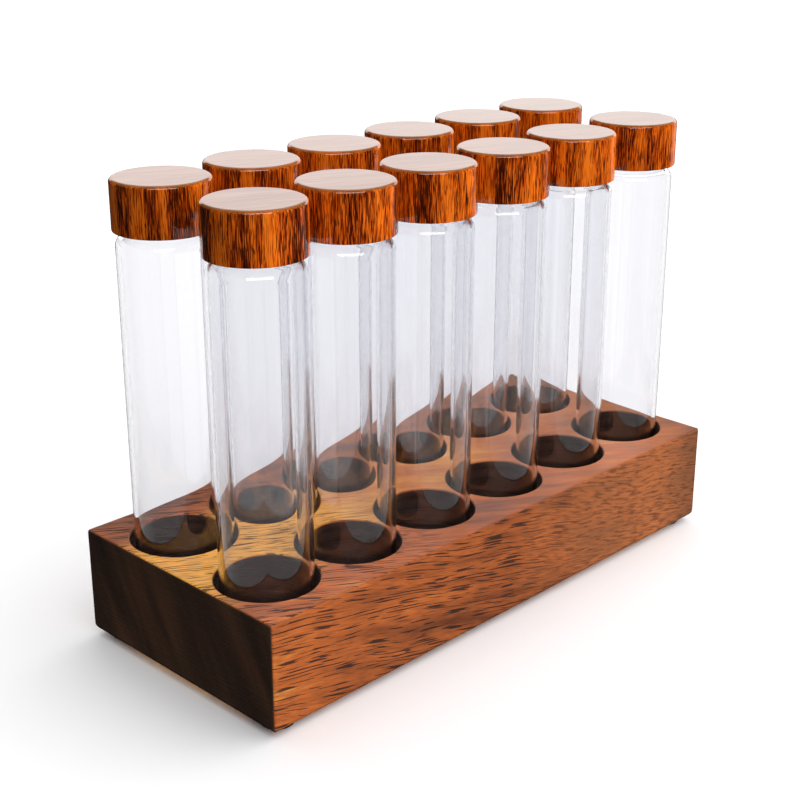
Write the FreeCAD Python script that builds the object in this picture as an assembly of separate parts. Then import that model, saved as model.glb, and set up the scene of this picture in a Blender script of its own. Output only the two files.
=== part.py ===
"""Wooden block rack holding twelve straight glass tubes with screw caps.

Millimetres, +Z up.  The origin is the centre of the footprint, on the surface that the
four rubber feet stand on.  X runs along the block, Y across it.  Tube 1 of the front row
is at -X, -Y; tubes 1 to 6 are the front row and 7 to 12 the back row.

Every tube stands on the floor of its blind hole.  A cap is a wood-look outer shell pressed
over a threaded insert, with a loose sealing disc that rests on the tube's lip.
"""
import FreeCAD, Part
import math
import os

from FreeCAD import Vector

# ---- driving dimensions -----------------------------------------------------------------
COLUMNS = 6
ROWS = 2
PITCH_X = 36.0
PITCH_Y = 43.5

BLOCK_LENGTH = 220.0
BLOCK_WIDTH = 93.5
BLOCK_HEIGHT = 37.5
TOP_EDGE_RADIUS = 0.8
BOTTOM_EDGE_RADIUS = 2.6
CORNER_RADIUS = 0.9
HOLE_RADIUS = 16.9
HOLE_DEPTH = 30.0
HOLE_CHAMFER = 0.35

FOOT_RADIUS = 5.5
FOOT_THICKNESS = 2.6
FOOT_POCKET = 0.8          # how deep each foot is let into the underside
FOOT_INSET = 8.3           # foot centre from each side of the block
FOOT_EDGE_RADIUS = 0.4

TUBE_RADIUS = 15.0
TUBE_WALL = 1.4
TUBE_FLOOR = 2.4
TUBE_HEEL_RADIUS = 2.0     # outside rounding at the foot of the tube
TUBE_INNER_HEEL = 2.6
TUBE_LENGTH = 146.0
NECK_RADIUS = 12.0
NECK_WALL = 1.7
NECK_LENGTH = 13.4         # from the shoulder's top to the lip
SHOULDER_DROP = 1.6         # the shoulder slopes down this far from neck to wall
SHOULDER_RADIUS = 4.0
NECK_FILLET = 0.6          # hollow rounding where the neck meets the shoulder
LIP_RADIUS = 0.6

THREAD_PITCH = 4.0
THREAD_TURNS = 1.25
THREAD_HEIGHT = 1.0        # glass bead, out from the neck
THREAD_WIDTH = 1.9         # glass bead at its root
THREAD_BELOW_LIP = 3.0     # middle of the bead at its upper end

CAP_RADIUS = 15.8
CAP_HEIGHT = 16.3
SHELL_WALL = 1.3
SHELL_ROOF = 1.5
CAP_RIM_RADIUS = 1.3
CAP_HEM_RADIUS = 0.4
INSERT_WALL = 1.1
INSERT_ROOF = 1.3
INSERT_SETBACK = 0.6       # the insert ends this far above the shell's hem
INSERT_FIT = 0.05          # radial gap between shell and insert
INSERT_TURNS = 1.25
INSERT_BEAD_HEIGHT = 0.95  # in from the insert's wall
INSERT_BEAD_WIDTH = 1.5

SEAL_RADIUS = 12.9
SEAL_THICKNESS = 1.2

BEAD_ROOT = 0.3            # how far a bead's root is buried in its wall
BEAD_CREST = 0.45          # crest width as a share of the root width

SHORTEST_EDGE = 0.001      # anything shorter is no edge
DRILL_RUN_OUT = 1.0        # how far a hole's cutter stands out of the top

# ---- levels that follow from them -------------------------------------------------------
block_bottom = FOOT_THICKNESS - FOOT_POCKET
block_top = block_bottom + BLOCK_HEIGHT
hole_floor = block_top - HOLE_DEPTH
lip = hole_floor + TUBE_LENGTH
neck_base = lip - NECK_LENGTH
thread_low = lip - THREAD_BELOW_LIP - THREAD_PITCH * THREAD_TURNS
seal_top = lip + SEAL_THICKNESS
insert_top = seal_top + INSERT_ROOF
cap_top = insert_top + SHELL_ROOF
cap_hem = cap_top - CAP_HEIGHT
insert_outer = CAP_RADIUS - SHELL_WALL - INSERT_FIT
insert_inner = insert_outer - INSERT_WALL

Z = Vector(0, 0, 1)


def rounded_profile(points):
    """Closed profile from (radius, height, rounding) corners, with tangent arcs at the
    corners whose rounding is more than zero."""
    arcs = {}
    trimmed = []
    for i, (r, z, rounding) in enumerate(points):
        corner = Vector(r, 0, z)
        if not rounding:
            trimmed.append((corner, corner))
            continue
        before, after = points[i - 1], points[(i + 1) % len(points)]
        to_before = (Vector(before[0], 0, before[1]) - corner).normalize()
        to_after = (Vector(after[0], 0, after[1]) - corner).normalize()
        half = to_before.getAngle(to_after) / 2
        enter = corner + to_before * (rounding / math.tan(half))
        leave = corner + to_after * (rounding / math.tan(half))
        inward = (to_before + to_after).normalize()
        middle = corner + inward * (rounding / math.sin(half) - rounding)
        arcs[i] = Part.Arc(enter, middle, leave).toShape()
        trimmed.append((enter, leave))
    outline = []
    for i, (_, start) in enumerate(trimmed):
        end = trimmed[(i + 1) % len(points)][0]
        if i in arcs:
            outline.append(arcs[i])
        if (end - start).Length > SHORTEST_EDGE:
            outline.append(Part.LineSegment(start, end).toShape())
    return Part.Wire(outline)


def revolved(points):
    """Solid of revolution about Z from a rounded profile."""
    return Part.Face(rounded_profile(points)).revolve(Vector(), Z, 360)


def cylinder(radius, height, x=0.0, y=0.0, z=0.0):
    return Part.makeCylinder(radius, height, Vector(x, y, z), Z)


def helical_bead(root_radius, outward, height, width, turns, middle_low):
    """A thread bead with a trapezoid section that climbs `turns` turns from middle_low.
    outward is 1 for a bead on the outside of a wall and -1 for one on the inside."""
    spine = Part.makeHelix(THREAD_PITCH, THREAD_PITCH * turns, root_radius)
    spine.translate(Vector(0, 0, middle_low))
    inner = root_radius - outward * BEAD_ROOT
    crest = root_radius + outward * height
    half_root = width / 2
    half_crest = half_root * BEAD_CREST
    corners = [
        Vector(inner, 0, middle_low - half_root),
        Vector(crest, 0, middle_low - half_crest),
        Vector(crest, 0, middle_low + half_crest),
        Vector(inner, 0, middle_low + half_root),
    ]
    section = Part.makePolygon(corners + corners[:1])
    bead = Part.Wire(spine.Edges).makePipeShell([section], True, True)
    if bead.Volume < 0:
        bead.reverse()
    return bead


def make_block():
    """The plain block: bottom edges well rounded, upright corners and top edges eased."""
    block = Part.makeBox(
        BLOCK_LENGTH, BLOCK_WIDTH, BLOCK_HEIGHT,
        Vector(-BLOCK_LENGTH / 2, -BLOCK_WIDTH / 2, block_bottom),
    )
    bottom = [e for e in block.Edges if e.BoundBox.ZMax < block_bottom + SHORTEST_EDGE]
    block = block.makeFillet(BOTTOM_EDGE_RADIUS, bottom)
    upright = [e for e in block.Edges if e.BoundBox.ZLength > BLOCK_HEIGHT / 2]
    block = block.makeFillet(CORNER_RADIUS, upright)
    top = [e for e in block.Edges if e.BoundBox.ZMin > block_top - SHORTEST_EDGE]
    return block.makeFillet(TOP_EDGE_RADIUS, top)


def hole_places():
    """Centre of each hole, front row first and from -X to +X."""
    for row in range(ROWS):
        for column in range(COLUMNS):
            yield (
                (column - (COLUMNS - 1) / 2) * PITCH_X,
                (row - (ROWS - 1) / 2) * PITCH_Y,
            )


def foot_places():
    across = BLOCK_LENGTH / 2 - FOOT_INSET
    deep = BLOCK_WIDTH / 2 - FOOT_INSET
    return {
        "front_left": (-across, -deep),
        "front_right": (across, -deep),
        "back_left": (-across, deep),
        "back_right": (across, deep),
    }


def make_rack():
    block = make_block()
    for x, y in hole_places():
        hole = cylinder(HOLE_RADIUS, HOLE_DEPTH + DRILL_RUN_OUT, x, y, hole_floor)
        mouth = Part.makeCone(
            HOLE_RADIUS, HOLE_RADIUS + HOLE_CHAMFER, HOLE_CHAMFER,
            Vector(x, y, block_top - HOLE_CHAMFER), Z,
        )
        block = block.cut(hole.fuse(mouth))
    for x, y in foot_places().values():
        block = block.cut(cylinder(FOOT_RADIUS, FOOT_POCKET, x, y, block_bottom))
    return block


def make_foot(x, y):
    foot = revolved([
        (0, 0, 0),
        (FOOT_RADIUS, 0, FOOT_EDGE_RADIUS),
        (FOOT_RADIUS, FOOT_THICKNESS, 0),
        (0, FOOT_THICKNESS, 0),
    ])
    foot.translate(Vector(x, y, 0))
    return foot


def make_tube():
    """Glass tube at the origin's axis, with its thread bead fused to the neck.  The inside
    of the sloping shoulder runs parallel to its outside, one wall away."""
    bore = TUBE_RADIUS - TUBE_WALL
    neck_bore = NECK_RADIUS - NECK_WALL
    slope = SHOULDER_DROP / (TUBE_RADIUS - NECK_RADIUS)
    shoulder = neck_base - SHOULDER_DROP
    under_shoulder = shoulder - TUBE_WALL * math.hypot(1, slope)
    body = revolved([
        (0, hole_floor, 0),
        (TUBE_RADIUS, hole_floor, TUBE_HEEL_RADIUS),
        (TUBE_RADIUS, shoulder, SHOULDER_RADIUS),
        (NECK_RADIUS, neck_base, NECK_FILLET),
        (NECK_RADIUS, lip, LIP_RADIUS),
        (neck_bore, lip, LIP_RADIUS),
        (neck_bore, under_shoulder + (TUBE_RADIUS - neck_bore) * slope, NECK_FILLET + NECK_WALL),
        (bore, under_shoulder + TUBE_WALL * slope, SHOULDER_RADIUS - TUBE_WALL),
        (bore, hole_floor + TUBE_FLOOR, TUBE_INNER_HEEL),
        (0, hole_floor + TUBE_FLOOR, 0),
    ])
    bead = helical_bead(NECK_RADIUS, 1, THREAD_HEIGHT, THREAD_WIDTH, THREAD_TURNS, thread_low)
    return body.fuse(bead)


def make_cap_shell():
    inner = CAP_RADIUS - SHELL_WALL
    return revolved([
        (inner, cap_hem, CAP_HEM_RADIUS),
        (CAP_RADIUS, cap_hem, CAP_HEM_RADIUS),
        (CAP_RADIUS, cap_top, CAP_RIM_RADIUS),
        (0, cap_top, 0),
        (0, insert_top, 0),
        (inner, insert_top, 0),
    ])


def make_cap_insert():
    """Threaded insert.  Its bead lies midway between the turns of the glass bead."""
    bottom = cap_hem + INSERT_SETBACK
    cup = revolved([
        (insert_inner, bottom, CAP_HEM_RADIUS),
        (insert_outer, bottom, CAP_HEM_RADIUS),
        (insert_outer, insert_top, 0),
        (0, insert_top, 0),
        (0, seal_top, 0),
        (insert_inner, seal_top, 0),
    ])
    bead = helical_bead(
        insert_inner, -1, INSERT_BEAD_HEIGHT, INSERT_BEAD_WIDTH, INSERT_TURNS,
        thread_low - THREAD_PITCH / 2,
    )
    return cup.fuse(bead)


def make_seal():
    return revolved([
        (0, lip, 0),
        (SEAL_RADIUS, lip, 0),
        (SEAL_RADIUS, seal_top, 0),
        (0, seal_top, 0),
    ])


def export(shape, node, x=0.0, y=0.0):
    placed = shape.copy()
    placed.translate(Vector(x, y, 0))
    if not placed.isValid() or len(placed.Solids) != 1:
        raise SystemExit(f"{node} is not one valid solid")
    placed.Solids[0].exportStep(f"parts/{node}.step")
    return placed.Solids[0]


def main():
    os.makedirs("parts", exist_ok=True)
    export(make_rack(), "rack_block")
    for name, (x, y) in foot_places().items():
        export(make_foot(x, y), f"foot_{name}")
    pieces = {
        "glass_tube": make_tube(),
        "cap_shell": make_cap_shell(),
        "cap_insert": make_cap_insert(),
        "cap_seal": make_seal(),
    }
    for number, (x, y) in enumerate(hole_places(), start=1):
        for name, shape in pieces.items():
            export(shape, f"{name}_{number:02d}", x, y)
    clearance = pieces["glass_tube"].distToShape(pieces["cap_insert"])[0]
    print(f"block top {block_top:.2f}, hole floor {hole_floor:.2f}, lip {lip:.2f}")
    print(f"cap {cap_hem:.2f} to {cap_top:.2f}, neck base {neck_base:.2f}")
    print(f"least gap between glass and insert {clearance:.3f}")
    for name, shape in pieces.items():
        print(f"{name}: {shape.Volume:.1f} cubic mm, {len(shape.Faces)} faces")


main()
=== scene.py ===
"""Looks for a wooden block rack with twelve straight glass tubes and wood-look screw caps.

Metres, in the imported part's frame: X along the block, Y from the front row to the back
row, Z up.  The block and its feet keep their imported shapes.  The glass, the cap shells,
their inserts and the sealing discs are finer turned shapes in the same places.
"""
import math

import bmesh
import bpy
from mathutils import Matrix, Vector


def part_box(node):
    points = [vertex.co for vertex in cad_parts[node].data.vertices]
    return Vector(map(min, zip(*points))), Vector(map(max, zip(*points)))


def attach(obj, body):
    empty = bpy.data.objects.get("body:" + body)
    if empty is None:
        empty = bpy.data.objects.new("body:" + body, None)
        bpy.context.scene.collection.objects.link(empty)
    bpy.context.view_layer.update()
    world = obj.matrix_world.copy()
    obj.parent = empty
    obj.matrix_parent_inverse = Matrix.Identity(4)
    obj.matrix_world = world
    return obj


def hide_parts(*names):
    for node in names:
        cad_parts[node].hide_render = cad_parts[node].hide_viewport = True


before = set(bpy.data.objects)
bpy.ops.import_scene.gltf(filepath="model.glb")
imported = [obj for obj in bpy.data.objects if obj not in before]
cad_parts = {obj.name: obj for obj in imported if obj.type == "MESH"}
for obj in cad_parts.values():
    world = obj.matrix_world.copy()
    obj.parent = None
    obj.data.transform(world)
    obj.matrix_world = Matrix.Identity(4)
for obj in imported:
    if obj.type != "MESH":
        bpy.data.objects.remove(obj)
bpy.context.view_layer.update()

MM = 0.001

# ---- the parts' inner sizes, which the outer boxes don't give ---------------------------
COLUMNS, ROWS = 6, 2
HOLE_RADIUS = 16.9 * MM
TUBE_WALL = 1.4 * MM
TUBE_FLOOR = 2.4 * MM
HEEL_RADIUS = 2.0 * MM
INNER_HEEL = 2.6 * MM
NECK_RADIUS = 12.0 * MM
NECK_WALL = 1.7 * MM
NECK_LENGTH = 13.4 * MM
SHOULDER_DROP = 1.6 * MM
SHOULDER_RADIUS = 4.0 * MM
NECK_FILLET = 0.6 * MM
LIP_RADIUS = 0.6 * MM
THREAD_PITCH = 4.0 * MM
THREAD_TURNS = 1.25
THREAD_BELOW_LIP = 3.0 * MM
THREAD_FADE = 22.0                     # degrees over which a thread rises at each end
THREAD_FLANK = 0.5                     # share of half a thread's width taken by its flank
GLASS_BEAD = (1.0 * MM, 1.9 * MM)      # height and width of the glass thread
INSERT_BEAD = (0.95 * MM, 1.5 * MM)
SHELL_WALL = 1.3 * MM
SHELL_ROOF = 1.5 * MM
RIM_RADIUS = 1.3 * MM
HEM_RADIUS = 0.4 * MM
INSERT_WALL = 1.1 * MM
INSERT_ROOF = 1.3 * MM
SEAL_EDGE = 0.3 * MM

SEGMENTS = 128
ARC_STEPS = 7
SUPPORT = 0.35 * MM                    # loops that keep long walls flat beside a rounding
THREAD_STEP = 0.28 * MM                # between rings where a thread is raised
TINY = 0.001 * MM                      # radii closer than this are the same

SIDE_GRAIN_SLOPE = 13.0                # degrees down to the right on the block's long sides
TOP_GRAIN_SLOPE = 33.0                 # degrees towards the front on its top
HALF_ROW = 108.0 * MM                  # the drilled columns lie within this of the middle
UNDERSIDE = 5.0 * MM                   # below the holes' floors and above the rounded bottom

# ---- camera and light -------------------------------------------------------------------
CAMERA_PLACE = (-0.3588, -0.3448, 0.2563)   # metres
CAMERA_HEADING = 44.57                 # degrees from +X towards +Y
CAMERA_DIP = 20.71                     # degrees below level
CAMERA_LENS = 67.5                     # mm, on the usual 36 mm sensor
FLOOR_SIZE = 9.0                       # metres
LAMP_DISTANCE = 12.0                   # metres
BACKDROP = 1.02                        # what the camera and the glass see
MIRROR_SPAN = (0.90, 0.995)            # gloss sees a brighter patch towards +X
MIRROR_LEVELS = (0.02, 0.45)
DIMMEST = 0.04                         # least light on matt surfaces, before the glows
GLOWS = [                              # heading, rise, cosines where it fades in, strength
    (298.0, 10.0, (0.0, 0.95), 1.6),
    (38.0, 25.0, (0.1, 0.95), 0.8),
    (0.0, 90.0, (0.2, 1.0), 0.7),
]


class Shader:
    """One node material, or a world, with short calls for the nodes it needs."""

    def __init__(self, name, holder=None):
        self.material = holder or bpy.data.materials.new(name)
        self.material.use_nodes = True
        self.tree = self.material.node_tree
        self.tree.nodes.clear()
        self.coordinates = self.add("ShaderNodeTexCoord")
        self.place = self.coordinates.outputs["Object"]

    def add(self, kind, **settings):
        node = self.tree.nodes.new(kind)
        for key, value in settings.items():
            setattr(node, key, value)
        return node

    def feed(self, socket, value):
        if isinstance(value, bpy.types.NodeSocket):
            self.tree.links.new(value, socket)
        elif isinstance(value, tuple) and len(value) == 3 and socket.type == "RGBA":
            socket.default_value = (*value, 1.0)
        else:
            socket.default_value = value

    def maths(self, operation, a, b=0.0, c=0.0, clamp=False):
        node = self.add("ShaderNodeMath", operation=operation, use_clamp=clamp)
        for socket, value in zip(node.inputs, (a, b, c)):
            self.feed(socket, value)
        return node.outputs[0]

    def vector(self, operation, a, b):
        node = self.add("ShaderNodeVectorMath", operation=operation)
        self.feed(node.inputs[0], a)
        self.feed(node.inputs[1], b)
        return node.outputs[0]

    def dot(self, a, b):
        node = self.add("ShaderNodeVectorMath", operation="DOT_PRODUCT")
        self.feed(node.inputs[0], a)
        self.feed(node.inputs[1], b)
        return node.outputs["Value"]

    def apart(self, vector):
        node = self.add("ShaderNodeSeparateXYZ")
        self.feed(node.inputs[0], vector)
        return node.outputs

    def together(self, x, y, z):
        node = self.add("ShaderNodeCombineXYZ")
        for socket, value in zip(node.inputs, (x, y, z)):
            self.feed(socket, value)
        return node.outputs[0]

    def turned(self, vector, degrees):
        node = self.add("ShaderNodeVectorRotate", rotation_type="EULER_XYZ")
        self.feed(node.inputs["Vector"], vector)
        node.inputs["Rotation"].default_value = [math.radians(d) for d in degrees]
        return node.outputs[0]

    def noise(self, vector, stretch, detail=3.0, roughness=0.55):
        """Noise from 0 to 1 whose features are 1/stretch metres along each axis."""
        node = self.add("ShaderNodeTexNoise")
        self.feed(node.inputs["Vector"], self.vector("MULTIPLY", vector, stretch))
        node.inputs["Scale"].default_value = 1.0
        node.inputs["Detail"].default_value = detail
        node.inputs["Roughness"].default_value = roughness
        return node.outputs["Fac"]

    def between(self, value, low, high, to_low=0.0, to_high=1.0):
        """Smooth step of a value from low to high."""
        node = self.add("ShaderNodeMapRange", interpolation_type="SMOOTHSTEP")
        for socket, number in zip(node.inputs, (value, low, high, to_low, to_high)):
            self.feed(socket, number)
        return node.outputs[0]

    def ramp(self, value, stops):
        node = self.add("ShaderNodeValToRGB")
        elements = node.color_ramp.elements
        while len(elements) < len(stops):
            elements.new(0.5)
        for element, (at, colour) in zip(elements, stops):
            element.position = at
            element.color = (*colour, 1.0)
        self.feed(node.inputs[0], value)
        return node.outputs[0]

    def mix(self, share, a, b, blend="MIX", kind="RGBA"):
        """From a to b by the share; kind is RGBA for colours, VECTOR or FLOAT."""
        node = self.add("ShaderNodeMix", data_type=kind, blend_type=blend)
        self.feed(node.inputs["Factor"], share)
        self.feed(node.inputs["A"], a)
        self.feed(node.inputs["B"], b)
        return node.outputs["Result"]

    def bump(self, height, depth, strength):
        node = self.add("ShaderNodeBump")
        node.inputs["Strength"].default_value = strength
        node.inputs["Distance"].default_value = depth
        self.feed(node.inputs["Height"], height)
        return node.outputs[0]

    def finish(self, shader, kind="ShaderNodeOutputMaterial"):
        output = self.add(kind)
        self.tree.links.new(shader.outputs[0], output.inputs[0])

    def principled(self, **inputs):
        """The surface.  Input names have underscores for spaces."""
        node = self.add("ShaderNodeBsdfPrincipled")
        for name, value in inputs.items():
            self.feed(node.inputs[name.replace("_", " ")], value)
        self.finish(node)


# ---- materials --------------------------------------------------------------------------
def block_wood():
    """Oiled acacia with wild grain: orange to gold with brown clouds, dark pores and flecks,
    dark ends, and painted shade in the drilled holes, with the cutter's rings there.  x runs
    along the block and y across it, in metres from its middle."""
    s = Shader("block_wood")
    x, y, z = s.apart(s.place)
    normal = s.apart(s.coordinates.outputs["Normal"])
    on_top = s.between(s.maths("ABSOLUTE", normal[2]), 0.6, 0.8)
    on_end = s.between(s.maths("ABSOLUTE", normal[0]), 0.6, 0.8)

    grain = grain_place(s, on_top)

    # colour: slow clouds, streaks along the grain, and gold heartwood between the rows
    clouds = s.noise(s.vector("ADD", s.place, (0.47, 0.23, 0.0)), (17.0, 26.0, 34.0), detail=2.0)
    streaks = s.noise(grain, (16.0, 170.0, 170.0), detail=4.0, roughness=0.62)
    tone = s.maths("MULTIPLY_ADD", s.maths("SUBTRACT", clouds, 0.5), 0.9, 0.60)
    tone = s.maths("MULTIPLY_ADD", s.maths("SUBTRACT", streaks, 0.5), 1.1, tone)
    brown_middle = s.maths("MULTIPLY", s.between(x, -0.085, -0.02),
                           s.between(x, 0.0, 0.05, 1.0, 0.0))
    tone = s.maths("MULTIPLY_ADD", brown_middle, -0.10, tone)
    tone = s.maths("MULTIPLY_ADD", s.between(x, 0.080, 0.110), -0.28, tone)
    gold = s.maths("MULTIPLY", s.between(s.maths("ABSOLUTE", y), 0.012, 0.034, 1.0, 0.0),
                   s.between(x, -0.07, 0.04, 1.0, 0.2))
    gold = s.maths("MULTIPLY", gold, on_top)
    tone = s.maths("MULTIPLY_ADD", gold, 0.50, tone)
    colour = s.ramp(tone, [
        (0.06, (0.055, 0.015, 0.006)),
        (0.30, (0.180, 0.045, 0.012)),
        (0.50, (0.380, 0.090, 0.014)),
        (0.70, (0.560, 0.130, 0.015)),
        (1.00, (0.860, 0.380, 0.060)),
    ])
    bright = s.maths("MULTIPLY", gold, s.between(x, -0.085, -0.03, 1.0, 0.22))
    colour = s.mix(bright, colour, (1.00, 0.44, 0.040))
    curl = s.noise(s.place, (30.0, 30.0, 30.0), detail=1.0)
    to_right = s.between(s.maths("MULTIPLY_ADD", curl, 0.08, x), 0.030, 0.110)
    tan = s.maths("MULTIPLY", s.maths("MULTIPLY_ADD", on_top, -0.6, 1.0),
                  s.maths("MULTIPLY", to_right, 0.42))
    colour = s.mix(tan, colour, (0.50, 0.190, 0.070))

    # fine fibres; to the left long dark pores that gather in bands, to the right soft flecks
    smooth_top = s.maths("MULTIPLY", on_top, s.between(x, -0.07, 0.0))
    fibres = s.noise(grain, (120.0, 2800.0, 2800.0), detail=2.0)
    colour = s.mix(s.between(fibres, 0.35, 0.75, 0.0, 0.45), colour, (0.50, 0.40, 0.34), "MULTIPLY")
    dashes = s.noise(grain, (80.0, 1950.0, 1950.0), detail=0.5, roughness=0.4)
    gather = s.noise(grain, (14.0, 120.0, 120.0), detail=2.0)
    dashes = s.maths("MULTIPLY_ADD", brown_middle, 0.02, dashes)
    pores = s.between(s.maths("MULTIPLY_ADD", gather, 0.30, dashes), 0.725, 0.785)
    pores = s.maths("MULTIPLY", pores, s.maths("MULTIPLY_ADD", to_right, -0.85, 1.0))
    pores = s.maths("MULTIPLY", pores, s.maths("MULTIPLY_ADD", smooth_top, -0.9, 1.0))
    specks = s.noise(grain, (170.0, 1150.0, 1150.0), detail=1.5)
    flecks = s.between(s.maths("MULTIPLY_ADD", streaks, 0.40, specks), 0.64, 0.86)
    shown = s.maths("MULTIPLY_ADD", to_right, 0.34, 0.25)
    shown = s.maths("MULTIPLY", shown, s.maths("MULTIPLY_ADD", smooth_top, -0.75, 1.0))
    colour = s.mix(s.maths("MULTIPLY", flecks, shown), colour, (0.075, 0.022, 0.011))
    colour = s.mix(s.maths("MULTIPLY", pores, 0.86), colour, (0.026, 0.008, 0.006))

    colour = s.mix(on_end, colour, end_grain(s))
    drilled, rings = hole_shade_and_rings(s, x, y, z)
    # painted shade: the holes' walls and floors go near black below the lip, in two dark tones
    # along the cutter's rings
    colour = s.mix(drilled, colour, s.mix(rings, (0.038, 0.015, 0.008), (0.015, 0.006, 0.004)))

    roughness = s.maths("MULTIPLY_ADD", streaks, 0.16, 0.32)
    roughness = s.maths("MULTIPLY_ADD", pores, 0.25, roughness)
    roughness = s.maths("MULTIPLY_ADD", on_end, 0.12, roughness)
    relief = s.maths("MULTIPLY_ADD", pores, -1.0, s.maths("MULTIPLY", fibres, 0.25))
    relief = s.maths("MULTIPLY_ADD", s.maths("MULTIPLY", drilled, rings), 0.3, relief)
    s.principled(
        Base_Color=colour, Roughness=roughness, Normal=s.bump(relief, 0.12 * MM, 0.6),
        Specular_IOR_Level=0.3,
    )
    return s.material


def grain_place(s, on_top):
    """Places along and across the grain, which lies in each face: down to the right on the
    long sides, askew on the top, and drifting slowly on both."""
    side = s.turned(s.place, (0.0, -SIDE_GRAIN_SLOPE, 0.0))
    side = s.vector("MULTIPLY", side, (1.0, 0.0, 1.0))
    top = s.turned(s.place, (0.0, 0.0, TOP_GRAIN_SLOPE))
    top = s.vector("MULTIPLY", top, (1.0, 1.0, 0.0))
    grain = s.mix(on_top, side, top, kind="VECTOR")
    drift = s.noise(grain, (11.0, 34.0, 34.0), detail=2.0)
    drift = s.maths("MULTIPLY", s.maths("SUBTRACT", drift, 0.5), 12 * MM)
    return s.vector("ADD", grain, s.together(0.0, s.maths("MULTIPLY", drift, on_top), drift))


def end_grain(s):
    """Colour of the sawn ends, which soak up more oil: slanting dark bands and pale pores."""
    bands = s.noise(s.turned(s.place, (28.0, 0.0, 0.0)), (20.0, 75.0, 12.0), detail=3.0)
    colour = s.ramp(bands, [
        (0.30, (0.032, 0.018, 0.013)),
        (0.52, (0.070, 0.034, 0.019)),
        (0.72, (0.135, 0.060, 0.029)),
    ])
    pores = s.between(s.noise(s.place, (1500.0, 1500.0, 1500.0), detail=1.0), 0.62, 0.74)
    return s.mix(s.maths("MULTIPLY", pores, 0.4), colour, (0.16, 0.07, 0.035))


def hole_shade_and_rings(s, x, y, z):
    """Where the holes' walls and floors are, which take painted shade, and the rings that the
    cutter left in them.
    """
    squares = [s.maths("POWER", distance, 2.0) for distance in off_axis(s, x, y)]
    from_axis = s.maths("POWER", s.maths("ADD", *squares), 0.5)
    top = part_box("rack_block")[1].z
    drilled = s.maths("LESS_THAN", from_axis, HOLE_RADIUS + 0.05 * MM)
    drilled = s.maths("MULTIPLY", drilled, s.maths("LESS_THAN", s.maths("ABSOLUTE", x), HALF_ROW))
    drilled = s.maths("MULTIPLY", drilled, s.between(z, top - 0.9 * MM, top - 0.2 * MM, 1.0, 0.0))
    drilled = s.maths("MULTIPLY", drilled, s.maths("GREATER_THAN", z, UNDERSIDE))
    rings = s.noise(s.together(from_axis, z, 0.0), (1100.0, 800.0, 1.0), detail=1.0)
    return drilled, s.between(rings, 0.3, 0.7)


def off_axis(s, x, y):
    """How far a point of the block is from the nearest tube's axis, along and across."""
    first, second, behind = (hole_places()[k] for k in (0, 1, COLUMNS))
    pitch, half_gap = second.x - first.x, (behind.y - first.y) / 2
    along = s.maths("WRAP", s.maths("ADD", x, pitch * COLUMNS / 2), pitch, 0.0)
    along = s.maths("SUBTRACT", along, pitch / 2)
    return along, s.maths("SUBTRACT", s.maths("ABSOLUTE", y), half_gap)


def cap_film():
    """Printed wood grain under clear gloss lacquer, upright on the side of each cap; on its
    top it runs askew and faint under a painted sheen, a pale pinkish colour."""
    s = Shader("cap_wood_grain")
    own = s.add("ShaderNodeAttribute", attribute_type="OBJECT", attribute_name="grain_shift")
    place = s.vector("ADD", s.place, own.outputs["Vector"])
    normal = s.apart(s.coordinates.outputs["Normal"])
    on_top = s.between(normal[2], 0.80, 0.97)
    on_rim = s.maths("MULTIPLY", s.between(normal[2], 0.35, 0.7),
                     s.between(normal[2], 0.9, 1.0, 1.0, 0.0))

    # side: bright ground, slow darker bands, fine upright fibres and crisp dark lines
    sway = s.maths("SUBTRACT", s.noise(place, (260.0, 260.0, 130.0), detail=1.0), 0.5)
    upright = s.vector("ADD", place, s.together(s.maths("MULTIPLY", sway, 0.6 * MM), 0.0, 0.0))
    bands = s.maths("SUBTRACT", s.noise(upright, (170.0, 170.0, 14.0), detail=2.0), 0.5)
    fibres = s.noise(upright, (2800.0, 2800.0, 150.0), detail=1.5, roughness=0.5)
    lines = s.noise(s.vector("ADD", upright, (0.3, 0.2, 0.1)), (3600.0, 3600.0, 230.0), detail=1.0)
    colour = s.ramp(s.maths("MULTIPLY_ADD", bands, 0.75, fibres), [
        (0.28, (0.060, 0.008, 0.0010)),
        (0.42, (0.320, 0.036, 0.0020)),
        (0.53, (0.680, 0.110, 0.0045)),
        (0.68, (0.930, 0.200, 0.0100)),
    ])
    inked = s.between(s.maths("MULTIPLY_ADD", bands, -0.55, lines), 0.525, 0.60)
    colour = s.mix(s.maths("MULTIPLY", inked, 0.85), colour, (0.016, 0.004, 0.0015))

    # top: the same print, running askew, under a painted sheen: a pale pinkish colour that stands
    # in for the lacquer's reflection
    askew = s.turned(place, (0.0, 0.0, 24.0))
    faint = s.noise(askew, (90.0, 1500.0, 60.0), detail=3.0)
    broad = s.noise(askew, (25.0, 260.0, 30.0), detail=2.0)
    painted_sheen_top = s.ramp(s.maths("MULTIPLY_ADD", s.maths("SUBTRACT", broad, 0.5), 0.9, faint), [
        (0.30, (0.28, 0.132, 0.084)),
        (0.50, (0.34, 0.172, 0.113)),
        (0.72, (0.40, 0.215, 0.147)),
    ])
    colour = s.mix(s.maths("MULTIPLY", on_rim, 0.6), colour, (0.34, 0.115, 0.022))
    # the top takes the painted sheen colour in place of the print's own
    colour = s.mix(on_top, colour, painted_sheen_top)
    orange_peel = s.noise(place, (420.0, 420.0, 420.0), detail=2.0)
    s.principled(
        Base_Color=colour, Roughness=0.5, Specular_IOR_Level=0.0,
        Normal=s.bump(orange_peel, 0.02 * MM, 0.2),
        Coat_Weight=1.0, Coat_Roughness=0.06, Coat_IOR=1.5,
    )
    return s.material


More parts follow.
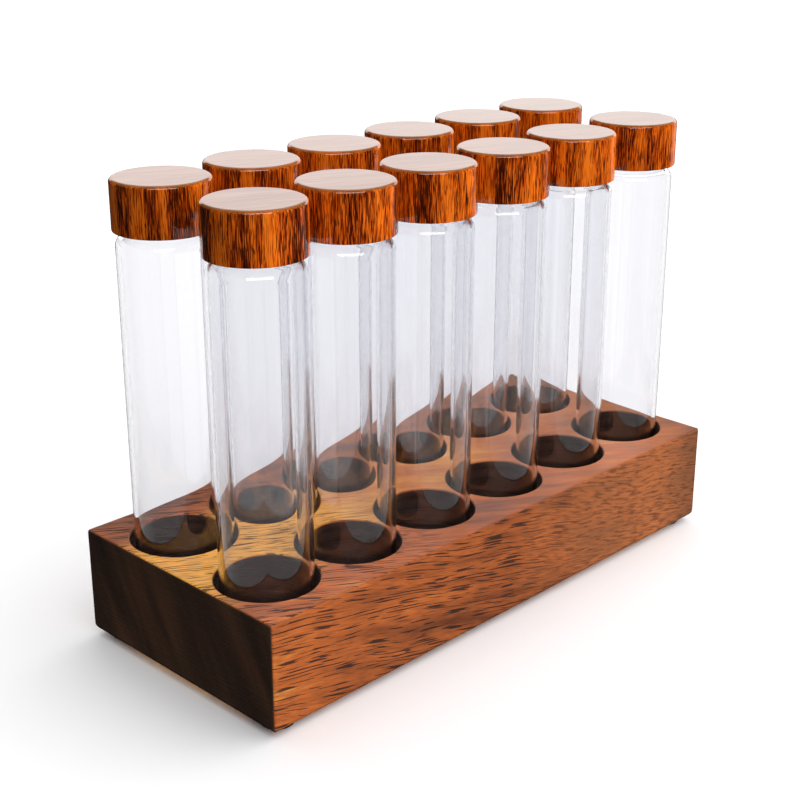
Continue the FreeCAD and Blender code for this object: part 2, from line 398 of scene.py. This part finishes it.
def clear_glass():
    """Drawn glass: clear, a breath of grey, with very slight drawing waves."""
    s = Shader("clear_glass")
    waves = s.noise(s.place, (40.0, 40.0, 4.0), detail=0.0)
    normal = s.bump(waves, 0.02 * MM, 0.04)
    s.principled(
        Base_Color=(0.92, 0.92, 0.935), Roughness=0.0, IOR=1.5,
        Transmission_Weight=1.0, Normal=normal,
    )
    return s.material


def insert_plastic():
    """Natural moulded polypropylene with a faint sparkle of flow marks."""
    s = Shader("insert_plastic")
    flow = s.noise(s.place, (260.0, 260.0, 60.0), detail=3.0)
    colour = s.mix(s.between(flow, 0.35, 0.7), (0.78, 0.76, 0.70), (0.86, 0.85, 0.81))
    grain = s.noise(s.place, (2600.0, 2600.0, 2600.0), detail=2.0)
    s.principled(
        Base_Color=colour, Roughness=s.maths("MULTIPLY_ADD", flow, 0.15, 0.38),
        Normal=s.bump(grain, 0.02 * MM, 0.4), Subsurface_Weight=0.15,
        Subsurface_Scale=2 * MM,
    )
    return s.material


def seal_foam():
    """White closed-cell foam with fine cells."""
    s = Shader("seal_foam")
    cells = s.add("ShaderNodeTexVoronoi")
    s.feed(cells.inputs["Vector"], s.place)
    cells.inputs["Scale"].default_value = 2600.0
    pits = s.between(cells.outputs["Distance"], 0.1, 0.6)
    colour = s.mix(pits, (0.80, 0.79, 0.76), (0.90, 0.89, 0.87))
    s.principled(Base_Color=colour, Roughness=0.75, Normal=s.bump(pits, 0.05 * MM, 0.6))
    return s.material


def foot_rubber():
    """Black moulded rubber with a fine matt grain and a dusty bloom."""
    s = Shader("foot_rubber")
    grain = s.noise(s.place, (2200.0, 2200.0, 2200.0), detail=3.0)
    bloom = s.noise(s.place, (240.0, 240.0, 240.0), detail=2.0)
    colour = s.mix(s.between(bloom, 0.4, 0.8), (0.012, 0.012, 0.013), (0.035, 0.034, 0.034))
    s.principled(
        Base_Color=colour, Roughness=s.maths("MULTIPLY_ADD", bloom, 0.2, 0.6),
        Normal=s.bump(grain, 0.05 * MM, 0.6),
    )
    return s.material


# ---- shapes -----------------------------------------------------------------------------
def node_names(kind):
    """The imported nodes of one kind, 01 to 12."""
    return [f"{kind}_{number:02d}" for number in range(1, COLUMNS * ROWS + 1)]


def hole_places():
    """Axis of each tube on the floor plane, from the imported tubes."""
    places = []
    for name in node_names("glass_tube"):
        low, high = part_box(name)
        middle = (low + high) / 2
        places.append(Vector((middle.x, middle.y, 0.0)))
    return places


def outline(corners):
    """(radius, height) points of a closed section from (radius, height, rounding) corners.
    Long straights get a support point beside each rounding."""
    points = []
    count = len(corners)
    for i, (r, z, rounding) in enumerate(corners):
        corner = Vector((r, z))
        if not rounding:
            points.append(corner)
            continue
        before = Vector(corners[i - 1][:2]) - corner
        after = Vector(corners[(i + 1) % count][:2]) - corner
        half = before.angle(after) / 2
        reach = rounding / math.tan(half)
        room = reach + 3 * SUPPORT
        room_before, room_after = before.length > room, after.length > room
        before.normalize()
        after.normalize()
        centre = corner + (before + after).normalized() * (rounding / math.sin(half))
        start = corner + before * reach - centre
        end = corner + after * reach - centre
        if room_before:
            points.append(corner + before * (reach + SUPPORT))
        turn = start.angle_signed(end)
        for step in range(ARC_STEPS + 1):
            angle = -turn * step / ARC_STEPS
            cosine, sine = math.cos(angle), math.sin(angle)
            points.append(centre + Vector((start.x * cosine - start.y * sine,
                                           start.x * sine + start.y * cosine)))
        if room_after:
            points.append(corner + after * (reach + SUPPORT))
    return points


def finer(points, low, high, step):
    """The same outline, with points about a step apart between two heights."""
    margin = 4 * step
    dense = []
    for here, after in zip(points, points[1:]):
        dense.append(here)
        bottom, top = sorted((here.y, after.y))
        inside = bottom >= low - margin and top <= high + margin
        across = bottom < low and top > high
        if (inside or across) and top - bottom >= step:
            pieces = round((after - here).length / step)
            dense += [here.lerp(after, k / pieces) for k in range(1, pieces)]
    return dense + points[-1:]


def thread_rise(angle, z, lowest, bead):
    """How far a thread bead stands out at this angle and height; it fades in at its ends."""
    height, width = bead
    full = 2 * math.pi * THREAD_TURNS
    most = 0.0
    for turn in range(math.ceil(THREAD_TURNS)):
        along = angle + 2 * math.pi * turn
        if along > full:
            break
        off = abs(z - lowest - THREAD_PITCH * along / (2 * math.pi)) / (width / 2)
        if off >= 1:
            continue
        ends = min(along, full - along) / math.radians(THREAD_FADE)
        flank = min(1.0, (1 - off) / THREAD_FLANK)
        flank = flank * flank * (3 - 2 * flank)
        most = max(most, height * flank * min(1.0, ends))
    return most


def lathe(name, points, bead=None, lowest=0.0, wall=None):
    """A mesh turned about Z from an outline that starts and ends on the axis.  Where the
    outline is at radius `wall`, a thread bead is raised, outwards or, for a negative
    height, inwards."""
    verts, faces, rings = [], [], []
    for point in points:
        if point.x < TINY:
            rings.append([len(verts)])
            verts.append((0.0, 0.0, point.y))
            continue
        ring = []
        for k in range(SEGMENTS):
            angle = 2 * math.pi * k / SEGMENTS
            radius = point.x
            if bead and abs(point.x - wall) < TINY:
                rise = thread_rise(angle, point.y, lowest, (abs(bead[0]), bead[1]))
                radius += math.copysign(rise, bead[0])
            ring.append(len(verts))
            verts.append((radius * math.cos(angle), radius * math.sin(angle), point.y))
        rings.append(ring)
    for lower, upper in zip(rings, rings[1:]):
        for k in range(SEGMENTS):
            after = (k + 1) % SEGMENTS
            if len(lower) == 1:
                faces.append((lower[0], upper[after], upper[k]))
            elif len(upper) == 1:
                faces.append((lower[k], lower[after], upper[0]))
            else:
                faces.append((lower[k], lower[after], upper[after], upper[k]))
    mesh = bpy.data.meshes.new(name)
    mesh.from_pydata(verts, [], faces)
    mesh.validate()
    return outward(mesh)


def outward(mesh):
    """The same mesh, smooth, with its faces turned to look out of the solid."""
    work = bmesh.new()
    work.from_mesh(mesh)
    bmesh.ops.recalc_face_normals(work, faces=work.faces)
    work.to_mesh(mesh)
    work.free()
    mesh.shade_smooth()
    return mesh


def glass_mesh():
    """A straight tube with a flat floor, a sloped shoulder and a threaded neck."""
    low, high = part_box("glass_tube_01")
    radius = (high.x - low.x) / 2
    bottom, lip = low.z, high.z
    neck_base = lip - NECK_LENGTH
    bore = radius - TUBE_WALL
    neck_bore = NECK_RADIUS - NECK_WALL
    slope = SHOULDER_DROP / (radius - NECK_RADIUS)
    under = neck_base - SHOULDER_DROP - TUBE_WALL * math.hypot(1, slope)
    inner_round = SHOULDER_RADIUS - TUBE_WALL
    neck_round = NECK_FILLET + NECK_WALL
    points = outline([
        (0, bottom, 0),
        (radius, bottom, HEEL_RADIUS),
        (radius, neck_base - SHOULDER_DROP, SHOULDER_RADIUS),
        (NECK_RADIUS, neck_base, NECK_FILLET),
        (NECK_RADIUS, lip, LIP_RADIUS),
        (neck_bore, lip, LIP_RADIUS),
        (neck_bore, under + (radius - neck_bore) * slope, neck_round),
        (bore, under + (radius - bore) * slope, inner_round),
        (bore, bottom + TUBE_FLOOR, INNER_HEEL),
        (0, bottom + TUBE_FLOOR, 0),
    ])
    thread_low = lip - THREAD_BELOW_LIP - THREAD_PITCH * THREAD_TURNS
    thread_high = lip - THREAD_BELOW_LIP
    points = finer(points, thread_low - GLASS_BEAD[1], thread_high + GLASS_BEAD[1] / 2, THREAD_STEP)
    return lathe("glass_tube", points, GLASS_BEAD, thread_low, NECK_RADIUS)


def shell_mesh():
    """The cap's outer shell, open below."""
    low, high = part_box("cap_shell_01")
    radius = (high.x - low.x) / 2
    inner = radius - SHELL_WALL
    points = outline([
        (0, high.z - SHELL_ROOF, 0),
        (inner, high.z - SHELL_ROOF, 0),
        (inner, low.z, HEM_RADIUS),
        (radius, low.z, HEM_RADIUS),
        (radius, high.z, RIM_RADIUS),
        (0, high.z, 0),
    ])
    return lathe("cap_shell", points)


def insert_mesh():
    """The cap's threaded lining.  Its thread runs midway between the turns of the glass one."""
    low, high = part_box("cap_insert_01")
    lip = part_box("glass_tube_01")[1].z
    radius = (high.x - low.x) / 2
    inner = radius - INSERT_WALL
    lowest = lip - THREAD_BELOW_LIP - THREAD_PITCH * THREAD_TURNS - THREAD_PITCH / 2
    highest = lowest + THREAD_PITCH * THREAD_TURNS
    points = outline([
        (0, high.z - INSERT_ROOF, 0),
        (inner, high.z - INSERT_ROOF, 0),
        (inner, low.z, HEM_RADIUS / 2),
        (radius, low.z, HEM_RADIUS / 2),
        (radius, high.z, 0),
        (0, high.z, 0),
    ])
    points = finer(points, lowest - INSERT_BEAD[1], highest + INSERT_BEAD[1], THREAD_STEP)
    inwards = (-INSERT_BEAD[0], INSERT_BEAD[1])
    return lathe("cap_insert", points, inwards, lowest, inner)


def seal_mesh():
    """The flat disc under the insert's roof."""
    low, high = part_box("cap_seal_01")
    radius = (high.x - low.x) / 2
    points = outline([
        (0, low.z, 0),
        (radius, low.z, SEAL_EDGE),
        (radius, high.z, SEAL_EDGE),
        (0, high.z, 0),
    ])
    return lathe("cap_seal", points)


def grain_shift(number):
    """Where a cap's print starts, in metres, so that no two caps show the same stretch."""
    scattered = math.sin(number * 12.9898) * 4.0
    return [scattered % 1.0, (scattered * 1.7) % 1.0, (scattered * 2.3) % 1.0]


def place_turned_pieces():
    """Each kind's own mesh at every tube's axis, riding on that tube's bodies."""
    kinds = {
        "glass_tube": (glass_mesh, "tube", "clear_glass", clear_glass),
        "cap_shell": (shell_mesh, "cap", "cap_wood_grain", cap_film),
        "cap_insert": (insert_mesh, "cap", "insert_plastic", insert_plastic),
        "cap_seal": (seal_mesh, "seal", "seal_foam", seal_foam),
    }
    for kind, (make_mesh, body, slot, make_material) in kinds.items():
        mesh = make_mesh()
        mesh.materials.append(make_material())
        for number, place in enumerate(hole_places(), start=1):
            piece = bpy.data.objects.new(f"{kind}_{number:02d}_fine", mesh)
            piece.location = place
            bpy.context.scene.collection.objects.link(piece)
            piece.visible_shadow = kind != "glass_tube"
            if kind == "cap_shell":
                piece["grain_shift"] = grain_shift(number)
            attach(piece, f"{body}_{number:02d}")
            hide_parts(f"{kind}_{number:02d}")


def dress(node, material):
    """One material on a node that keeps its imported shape."""
    node.data.materials.clear()
    node.data.materials.append(material)


def dress_packed_nodes():
    """The block and its feet."""
    wood, rubber = block_wood(), foot_rubber()
    for name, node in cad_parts.items():
        if name == "rack_block":
            dress(node, wood)
        elif name.startswith("foot_"):
            dress(node, rubber)


# ---- stage ------------------------------------------------------------------------------
def pale_floor():
    """Plain pale paper that takes the rack's shadow and throws no light back on the rack."""
    s = Shader("pale_floor")
    mottle = s.noise(s.place, (3.0, 3.0, 3.0), detail=2.0)
    paper = s.mix(mottle, (0.955, 0.955, 0.965), (0.965, 0.96, 0.965))
    s.principled(Base_Color=paper, Roughness=0.9, Specular_IOR_Level=0.0)
    mesh = bpy.data.meshes.new("floor")
    half = FLOOR_SIZE / 2
    corners = [(-half, -half, 0), (half, -half, 0), (half, half, 0), (-half, half, 0)]
    mesh.from_pydata(corners, [], [(0, 1, 2, 3)])
    mesh.materials.append(s.material)
    floor = bpy.data.objects.new("floor", mesh)
    bpy.context.scene.collection.objects.link(floor)
    floor.visible_diffuse = floor.visible_glossy = False


def heading_vector(heading, rise):
    """Unit vector; heading in degrees from +X towards +Y and rise in degrees above level."""
    turn, lift = math.radians(heading), math.radians(rise)
    level = math.cos(lift)
    return Vector((math.cos(turn) * level, math.sin(turn) * level, math.sin(lift)))


def softbox(name, heading, rise, spread, radiance):
    """A large far lamp that faces the rack, with its width and height in degrees."""
    lamp = bpy.data.lights.new(name, "AREA")
    lamp.shape = "RECTANGLE"
    lamp.size, lamp.size_y = (2 * LAMP_DISTANCE * math.tan(math.radians(d / 2)) for d in spread)
    lamp.energy = radiance * math.pi * lamp.size * lamp.size_y
    box = bpy.data.objects.new(name, lamp)
    bpy.context.scene.collection.objects.link(box)
    towards = heading_vector(heading, rise)
    box.location = towards * LAMP_DISTANCE
    box.rotation_euler = towards.to_track_quat("Z", "Y").to_euler()
    box.visible_camera = False
    return box


def studio():
    """Three broad soft glows, brightest to the front right and dim to the left, a white
    backdrop, and two boxes: one across the tops and one for the highlights on the shoulders."""
    s = Shader("studio", bpy.data.worlds.new("studio"))
    bpy.context.scene.world = s.material
    outwards = s.coordinates.outputs["Generated"]
    mirrored = s.between(s.apart(outwards)[0], *MIRROR_SPAN, *MIRROR_LEVELS)
    glow = DIMMEST
    for heading, rise, span, strength in GLOWS:
        facing = s.dot(outwards, heading_vector(heading, rise))
        glow = s.maths("ADD", glow, s.between(facing, *span, 0.0, strength))
    path = s.add("ShaderNodeLightPath")
    scattered = s.maths("MINIMUM", path.outputs["Diffuse Depth"], 1.0)
    glossy = s.maths("SUBTRACT", path.outputs["Is Glossy Ray"], path.outputs["Is Transmission Ray"],
                     clamp=True)
    strength = s.mix(glossy, BACKDROP, mirrored, kind="FLOAT")
    strength = s.mix(scattered, strength, glow, kind="FLOAT")
    backdrop = s.add("ShaderNodeBackground")
    s.feed(backdrop.inputs["Color"], (1.0, 1.0, 1.0))
    s.feed(backdrop.inputs["Strength"], strength)
    s.finish(backdrop, "ShaderNodeOutputWorld")
    s.material.cycles.sampling_method = "NONE"
    softbox("back", heading=40.0, rise=13.0, spread=(70.0, 18.0), radiance=1.45)
    window = softbox("window", heading=238.0, rise=42.0, spread=(54.0, 20.0), radiance=6.5)
    window.visible_diffuse = False


def camera():
    """A plain camera that is level from side to side, with no shift."""
    data = bpy.data.cameras.new("camera")
    data.lens = CAMERA_LENS
    data.clip_start = 0.01
    data.clip_end = 50.0
    view = bpy.data.objects.new("camera", data)
    bpy.context.scene.collection.objects.link(view)
    view.location = CAMERA_PLACE
    view.rotation_euler = (math.radians(90 - CAMERA_DIP), 0.0, math.radians(CAMERA_HEADING - 90))
    bpy.context.scene.camera = view


def look():
    """Plain colours, and bounces enough for light to cross many walls of glass."""
    scene = bpy.context.scene
    scene.view_settings.view_transform = "Standard"
    scene.view_settings.look = "None"
    scene.cycles.max_bounces = 32
    scene.cycles.transmission_bounces = 32
    scene.cycles.transparent_max_bounces = 32
    scene.cycles.glossy_bounces = 8
    scene.cycles.diffuse_bounces = 4


camera()
look()
studio()
pale_floor()
dress_packed_nodes()
place_turned_pieces()
